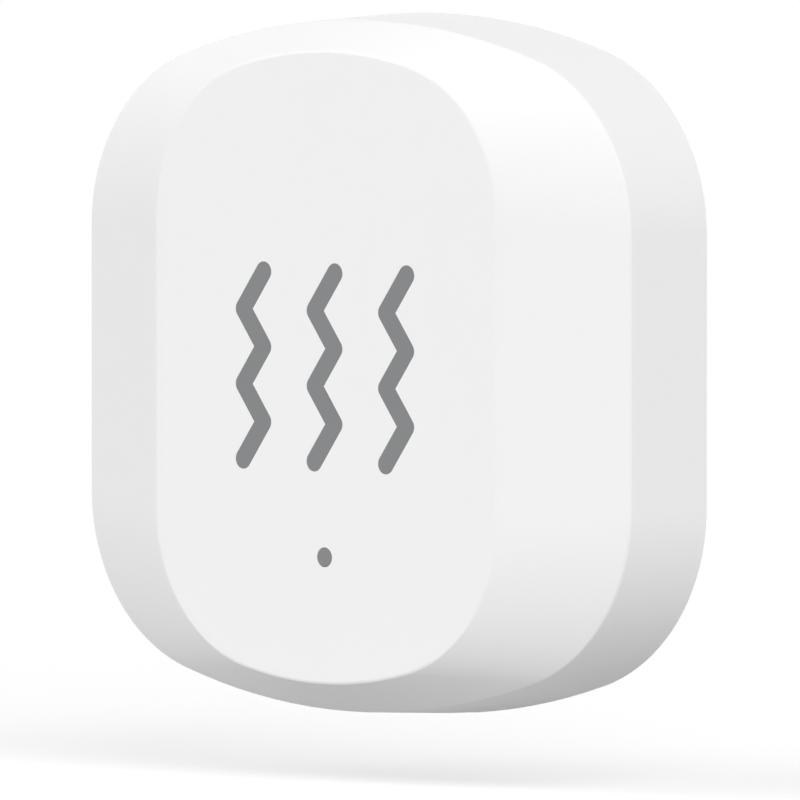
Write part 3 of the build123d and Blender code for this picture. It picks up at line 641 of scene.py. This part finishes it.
def is_cap_edge(heights, normals):
    """Whether an edge runs along the cap's face or shoulder, from its ends' places along Y
    and the normals of the faces that meet there."""
    on_level = any(
        all(abs(height - level) < LEVEL_SLACK for height in heights)
        for level in (FACE_LEVEL, SHOULDER_LEVEL)
    )
    if not on_level or len(normals) != 2:
        return False
    beside_band = any(is_on_band(normal) for normal in normals)
    return beside_band and normals[0].angle(normals[1]) > math.radians(ROUNDED_FROM)


def dress(piece, node, slot):
    piece.data.materials.clear()
    piece.data.materials.append(FINISHES[slot].material)
    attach(piece, body_of_piece(node))
    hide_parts(node)


def make_cap():
    """The cap, with a fine round along the edge of its flat face and along its shoulder."""
    cap = merged_copy("front_cap", "cap_moulding")
    deselect_mesh()
    mesh = cap.data
    beside = {}
    for face in mesh.polygons:
        for key in face.edge_keys:
            beside.setdefault(key, []).append(face.normal.copy())
    for edge in mesh.edges:
        heights = [mesh.vertices[index].co.y for index in edge.vertices]
        edge.select = is_cap_edge(heights, beside[tuple(sorted(edge.vertices))])
    bpy.ops.object.mode_set(mode="EDIT")
    bpy.ops.mesh.bevel(offset=CAP_ROUND, segments=2, affect="EDGES", clamp_overlap=True)
    bpy.ops.object.mode_set(mode="OBJECT")
    smooth(cap, CAP_CORNER)
    weigh_normals(cap)
    sweep_the_band(cap)
    dress(cap, "front_cap", "cap_white")


def boxes_of_chips(mesh):
    """The lowest and highest corner of each chip, where a chip is one loose part of the mesh."""
    near = list(range(len(mesh.vertices)))

    def root(index):
        while near[index] != index:
            index = near[index]
        return index

    for edge in mesh.edges:
        near[root(edge.vertices[0])] = root(edge.vertices[1])
    chips = {}
    for vertex in mesh.vertices:
        chips.setdefault(root(vertex.index), []).append(vertex.co)
    return [
        (Vector([min(side) for side in zip(*places)]), Vector([max(side) for side in zip(*places)]))
        for places in chips.values()
    ]


def is_inside(place, low, high):
    return all(low[i] - CHIP_SLACK < place[i] < high[i] + CHIP_SLACK for i in range(3))


def cut_across(low, high, long, cut):
    """Cuts the active piece's chip in this box, at a place along its long axis."""
    mesh = bpy.context.object.data
    deselect_mesh()
    for face in mesh.polygons:
        face.select = is_inside(face.center, low, high)
    bpy.ops.object.mode_set(mode="EDIT")
    place = [cut if axis == long else 0.0 for axis in range(3)]
    along = [1.0 if axis == long else 0.0 for axis in range(3)]
    bpy.ops.mesh.bisect(plane_co=place, plane_no=along)
    bpy.ops.object.mode_set(mode="OBJECT")


def tin_the_ends(piece, share):
    """Cuts both ends of every chip off the middle and gives them the tinned finish."""
    mesh = piece.data
    mesh.materials.append(FINISHES["leg_tin"].material)
    alone(piece)
    chips = []
    for low, high in boxes_of_chips(mesh):
        long = 0 if high.x - low.x > high.z - low.z else 2
        depth = (high[long] - low[long]) * share
        chips.append((low, high, long, low[long] + depth, high[long] - depth))
    for low, high, long, first, last in chips:
        cut_across(low, high, long, first)
        cut_across(low, high, long, last)
    for face in mesh.polygons:
        for low, high, long, first, last in chips:
            if is_inside(face.center, low, high) and not first < face.center[long] < last:
                face.material_index = 1


def make_rounded_pieces():
    for node, (slot, width_mm, corner) in PIECES.items():
        piece = merged_copy(node, node + "_finished")
        if width_mm:
            round_corners(piece, width_mm, corner)
        if node in ROUND_WIRES:
            round_wire(piece)
        smooth(piece, corner)
        if width_mm:
            weigh_normals(piece)
        dress(piece, node, slot)
        if node in TINNED_CHIPS:
            tin_the_ends(piece, TINNED_CHIPS[node])


def make_floor():
    """A pale floor that shows white where it is seen and still holds the tag's shadow."""
    bpy.ops.mesh.primitive_plane_add(size=FLOOR_SIDE, location=(0, 0, FLOOR_LEVEL))
    floor = bpy.context.object
    floor.name = "studio_floor"
    alone(floor)
    bpy.ops.object.transform_apply(location=True, rotation=True, scale=True)
    finish = Finish("studio_floor_white", (0.50, 0.50, 0.50), 0.9)
    finish.shader.inputs["Specular IOR Level"].default_value = 0.0
    finish.tint(finish.cloudy(size_mm=400.0), (0.505, 0.505, 0.505))
    ray = finish.node("LightPath")
    by_camera, by_gloss, through = (Level(finish, ray.outputs[kind]) for kind in SEEING_RAYS)
    seen = by_camera + by_gloss + through
    finish.tint_over(seen, (1.0, 1.0, 1.0))
    glow = finish.node("Emission", None, {"Color": (1, 1, 1, 1), "Strength": GLOW_STRENGTH})
    surface = finish.node(
        "MixShader",
        None,
        {0: seen * GLOW_SHARE, 1: finish.shader.outputs[0], 2: glow.outputs[0]},
    )
    finish.feed(finish.tree.nodes["Material Output"].inputs["Surface"], surface.outputs[0])
    floor.data.materials.append(finish.material)


def make_world():
    """Soft light from all round, behind it a white backdrop for what sees it."""
    world = bpy.data.worlds.new("studio_air")
    bpy.context.scene.world = world
    world.use_nodes = True
    tree = world.node_tree
    air = tree.nodes["Background"]
    backdrop = tree.nodes.new("ShaderNodeBackground")
    for shader, strength in ((air, AIR_STRENGTH), (backdrop, 1.0)):
        shader.inputs["Color"].default_value = (1, 1, 1, 1)
        shader.inputs["Strength"].default_value = strength
    ray = tree.nodes.new("ShaderNodeLightPath")
    seen = ray.outputs[SEEING_RAYS[0]]
    for kind in SEEING_RAYS[1:]:
        either = tree.nodes.new("ShaderNodeMath")
        either.operation = "MAXIMUM"
        tree.links.new(seen, either.inputs[0])
        tree.links.new(ray.outputs[kind], either.inputs[1])
        seen = either.outputs[0]
    chosen = tree.nodes.new("ShaderNodeMixShader")
    tree.links.new(seen, chosen.inputs[0])
    tree.links.new(air.outputs[0], chosen.inputs[1])
    tree.links.new(backdrop.outputs[0], chosen.inputs[2])
    tree.links.new(chosen.outputs[0], tree.nodes["World Output"].inputs["Surface"])


def towards(azimuth, elevation):
    """The direction from the tag to a lamp or the camera."""
    turn, lift = math.radians(azimuth), math.radians(elevation)
    level = math.cos(lift)
    return Vector((math.sin(turn) * level, -math.cos(turn) * level, math.sin(lift)))


def stand(name, data, place, direction):
    """Stands a lamp or the camera at a place, looking back along its direction."""
    thing = bpy.data.objects.new(name, data)
    bpy.context.collection.objects.link(thing)
    thing.location = place
    thing.rotation_euler = direction.to_track_quat("Z", "Y").to_euler()
    return thing


def make_lamps():
    for name, azimuth, elevation, strength, width in LAMPS:
        data = bpy.data.lights.new(name, "SUN")
        data.energy = math.pi * strength
        data.angle = math.radians(width)
        direction = towards(azimuth, elevation)
        stand(name, data, direction, direction)


def make_camera():
    data = bpy.data.cameras.new("product_camera")
    data.lens = CAMERA_LENS
    data.sensor_width = 36.0
    data.clip_start = 0.05
    data.clip_end = 20.0
    data.shift_x, data.shift_y = CAMERA_SHIFT
    direction = towards(CAMERA_AZIMUTH, CAMERA_ELEVATION)
    place = Vector((0, FACE_LEVEL, 0)) + direction * CAMERA_DISTANCE
    bpy.context.scene.camera = stand("product_camera", data, place, direction)


bpy.context.scene.view_settings.view_transform = "Standard"
make_cap()
make_rounded_pieces()
make_floor()
make_world()
make_lamps()
make_camera()
